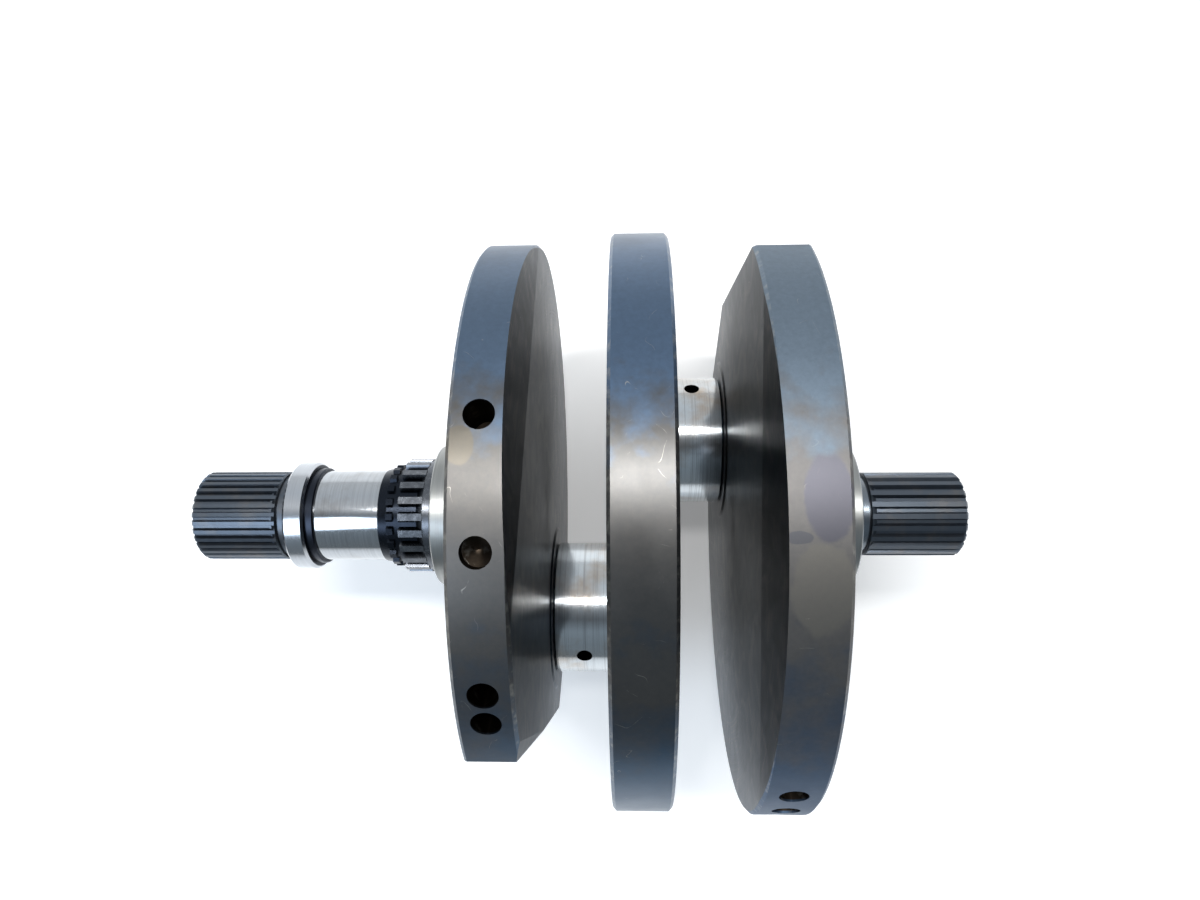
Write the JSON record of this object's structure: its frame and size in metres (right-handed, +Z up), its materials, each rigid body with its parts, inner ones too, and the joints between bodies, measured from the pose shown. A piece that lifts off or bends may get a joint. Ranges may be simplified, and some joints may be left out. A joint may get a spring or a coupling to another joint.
{
  "type": "crankshaft",
  "caption": "Full-disc V-twin crankshaft: outer and centre webs, offset crankpins, main journals, sprocket, seal collar and splined ends.",
  "frame": {"origin": "on the crank axis, half way along the left main journal", "axes": "+X along the crank axis towards the output end, +Z up on the side away from the crankpins' centre line, +Y the third axis of the right-handed frame"},
  "size_m": [0.2701, 0.1984, 0.199],
  "materials": {
    "web_steel": "machined forging steel, dark film of oil and light staining",
    "pin_steel": "ground and polished hardened steel",
    "ground_steel": "ground journals and seats, darker splines",
    "collar_steel": "ground outside, dark machined faces",
    "sprocket_steel": "blackened gear steel with bright tooth edges",
    "plug_steel": "pressed zinc-plated steel",
    "screw_steel": "black oxide"
  },
  "bodies": {
    "root": {"left_shaft": "ground_steel", "seal_collar": "collar_steel", "timing_sprocket": "sprocket_steel", "left_web": "web_steel", "left_crankpin": "pin_steel", "centre_web": "web_steel", "right_crankpin": "pin_steel", "right_web": "web_steel", "right_shaft": "ground_steel", "left_pin_outer_plug": "plug_steel", "left_pin_inner_plug": "plug_steel", "right_pin_outer_plug": "plug_steel", "right_pin_inner_plug": "plug_steel", "left_gallery_plug": "screw_steel", "right_gallery_plug": "screw_steel"}
  },
  "joints": []
}
